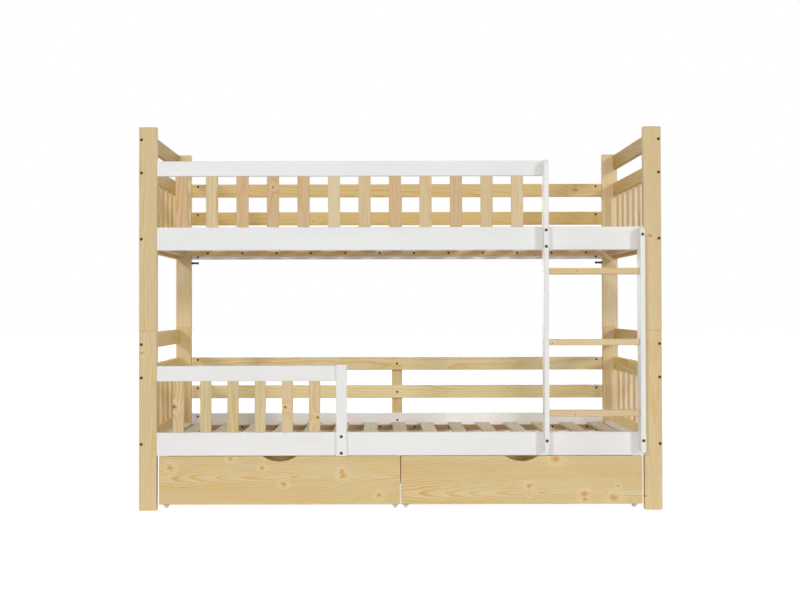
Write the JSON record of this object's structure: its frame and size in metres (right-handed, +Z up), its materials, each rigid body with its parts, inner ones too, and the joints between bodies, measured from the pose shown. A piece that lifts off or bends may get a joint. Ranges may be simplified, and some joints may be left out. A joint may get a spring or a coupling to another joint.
{
  "type": "bunk bed",
  "caption": "Pine and white painted bunk bed with picket ends and safety guards, a front ladder to the upper bunk, slat bases, and storage drawers that roll out on casters.",
  "frame": {"origin": "on the floor under the middle of the whole bed, with its ladder in front and its battens behind", "axes": "+X along the bed towards the end with the ladder, +Y from the front with the ladder to the back, +Z up"},
  "size_m": [2.06, 1.064, 1.51],
  "materials": {
    "natural_pine": "clear matt lacquer on knotty pine",
    "white_paint": "satin white paint on planed wood",
    "drawer_pine": "clear matt lacquer on warm knotty pine",
    "slat_pine": "raw planed wood",
    "white_plastic": "smooth moulded plastic"
  },
  "bodies": {
    "bed_frame": {"lower_front_left_post": "natural_pine", "lower_front_right_post": "natural_pine", "lower_back_left_post": "natural_pine", "lower_back_right_post": "natural_pine", "upper_front_left_post": "natural_pine", "upper_front_right_post": "natural_pine", "upper_back_left_post": "natural_pine", "upper_back_right_post": "natural_pine", "lower_front_bed_rail": "white_paint", "lower_back_bed_rail": "white_paint", "lower_left_end_top_rail": "natural_pine", "lower_left_end_panel": "natural_pine", "lower_left_end_slat": "white_paint", "lower_right_end_top_rail": "natural_pine", "lower_right_end_panel": "natural_pine", "lower_right_end_slat": "white_paint", "lower_slat_base": "slat_pine", "lower_back_guard_rail_high": "natural_pine", "lower_back_guard_rail_low": "natural_pine", "lower_back_batten": "natural_pine", "upper_front_bed_rail": "white_paint", "upper_back_bed_rail": "white_paint", "upper_left_end_top_rail": "natural_pine", "upper_left_end_panel": "natural_pine", "upper_left_end_slat": "white_paint", "upper_right_end_top_rail": "natural_pine", "upper_right_end_panel": "natural_pine", "upper_right_end_slat": "white_paint", "upper_slat_base": "slat_pine", "upper_back_guard_rail_high": "natural_pine", "upper_back_guard_rail_low": "natural_pine", "upper_back_batten": "natural_pine", "upper_front_guard": "white_paint", "lower_front_guard": "white_paint", "lower_guard_end_post": "white_paint", "ladder_left_stile": "white_paint", "ladder_right_stile": "white_paint", "ladder_rung_1": "natural_pine", "ladder_rung_2": "natural_pine", "ladder_rung_3": "natural_pine"},
    "left_drawer": {"left_drawer_front": "drawer_pine", "left_drawer_box": "drawer_pine", "left_drawer_front_left_caster": "white_plastic", "left_drawer_front_right_caster": "white_plastic", "left_drawer_back_left_caster": "white_plastic", "left_drawer_back_right_caster": "white_plastic"},
    "right_drawer": {"right_drawer_front": "drawer_pine", "right_drawer_box": "drawer_pine", "right_drawer_front_left_caster": "white_plastic", "right_drawer_front_right_caster": "white_plastic", "right_drawer_back_left_caster": "white_plastic", "right_drawer_back_right_caster": "white_plastic"},
    "left_drawer_front_left_wheel": {"left_drawer_front_left_wheel": "white_plastic"},
    "left_drawer_front_right_wheel": {"left_drawer_front_right_wheel": "white_plastic"},
    "left_drawer_back_left_wheel": {"left_drawer_back_left_wheel": "white_plastic"},
    "left_drawer_back_right_wheel": {"left_drawer_back_right_wheel": "white_plastic"},
    "right_drawer_front_left_wheel": {"right_drawer_front_left_wheel": "white_plastic"},
    "right_drawer_front_right_wheel": {"right_drawer_front_right_wheel": "white_plastic"},
    "right_drawer_back_left_wheel": {"right_drawer_back_left_wheel": "white_plastic"},
    "right_drawer_back_right_wheel": {"right_drawer_back_right_wheel": "white_plastic"}
  },
  "joints": [
    {"name": "left_drawer_slide", "type": "slide", "parent": "bed_frame", "child": "left_drawer", "axis": [0, -1, 0], "range_m": [0, 0.8]},
    {"name": "right_drawer_slide", "type": "slide", "parent": "bed_frame", "child": "right_drawer", "axis": [0, -1, 0], "range_m": [0, 0.8]},
    {"name": "left_drawer_front_left_wheel_spin", "type": "hinge", "parent": "left_drawer", "child": "left_drawer_front_left_wheel", "pos_m": [-0.9305, -0.392, 0.018], "axis": [1, 0, 0], "continuous": true},
    {"name": "left_drawer_front_right_wheel_spin", "type": "hinge", "parent": "left_drawer", "child": "left_drawer_front_right_wheel", "pos_m": [-0.0215, -0.392, 0.018], "axis": [1, 0, 0], "continuous": true},
    {"name": "left_drawer_back_left_wheel_spin", "type": "hinge", "parent": "left_drawer", "child": "left_drawer_back_left_wheel", "pos_m": [-0.9305, 0.268, 0.018], "axis": [1, 0, 0], "continuous": true},
    {"name": "left_drawer_back_right_wheel_spin", "type": "hinge", "parent": "left_drawer", "child": "left_drawer_back_right_wheel", "pos_m": [-0.0215, 0.268, 0.018], "axis": [1, 0, 0], "continuous": true},
    {"name": "right_drawer_front_left_wheel_spin", "type": "hinge", "parent": "right_drawer", "child": "right_drawer_front_left_wheel", "pos_m": [0.0215, -0.392, 0.018], "axis": [1, 0, 0], "continuous": true},
    {"name": "right_drawer_front_right_wheel_spin", "type": "hinge", "parent": "right_drawer", "child": "right_drawer_front_right_wheel", "pos_m": [0.9305, -0.392, 0.018], "axis": [1, 0, 0], "continuous": true},
    {"name": "right_drawer_back_left_wheel_spin", "type": "hinge", "parent": "right_drawer", "child": "right_drawer_back_left_wheel", "pos_m": [0.0215, 0.268, 0.018], "axis": [1, 0, 0], "continuous": true},
    {"name": "right_drawer_back_right_wheel_spin", "type": "hinge", "parent": "right_drawer", "child": "right_drawer_back_right_wheel", "pos_m": [0.9305, 0.268, 0.018], "axis": [1, 0, 0], "continuous": true}
  ],
  "couplings": [
    {"joint": "left_drawer_front_left_wheel_spin", "follows": "left_drawer_slide", "rad_per_m": 55.556},
    {"joint": "left_drawer_front_right_wheel_spin", "follows": "left_drawer_slide", "rad_per_m": 55.556},
    {"joint": "left_drawer_back_left_wheel_spin", "follows": "left_drawer_slide", "rad_per_m": 55.556},
    {"joint": "left_drawer_back_right_wheel_spin", "follows": "left_drawer_slide", "rad_per_m": 55.556},
    {"joint": "right_drawer_front_left_wheel_spin", "follows": "right_drawer_slide", "rad_per_m": 55.556},
    {"joint": "right_drawer_front_right_wheel_spin", "follows": "right_drawer_slide", "rad_per_m": 55.556},
    {"joint": "right_drawer_back_left_wheel_spin", "follows": "right_drawer_slide", "rad_per_m": 55.556},
    {"joint": "right_drawer_back_right_wheel_spin", "follows": "right_drawer_slide", "rad_per_m": 55.556}
  ]
}
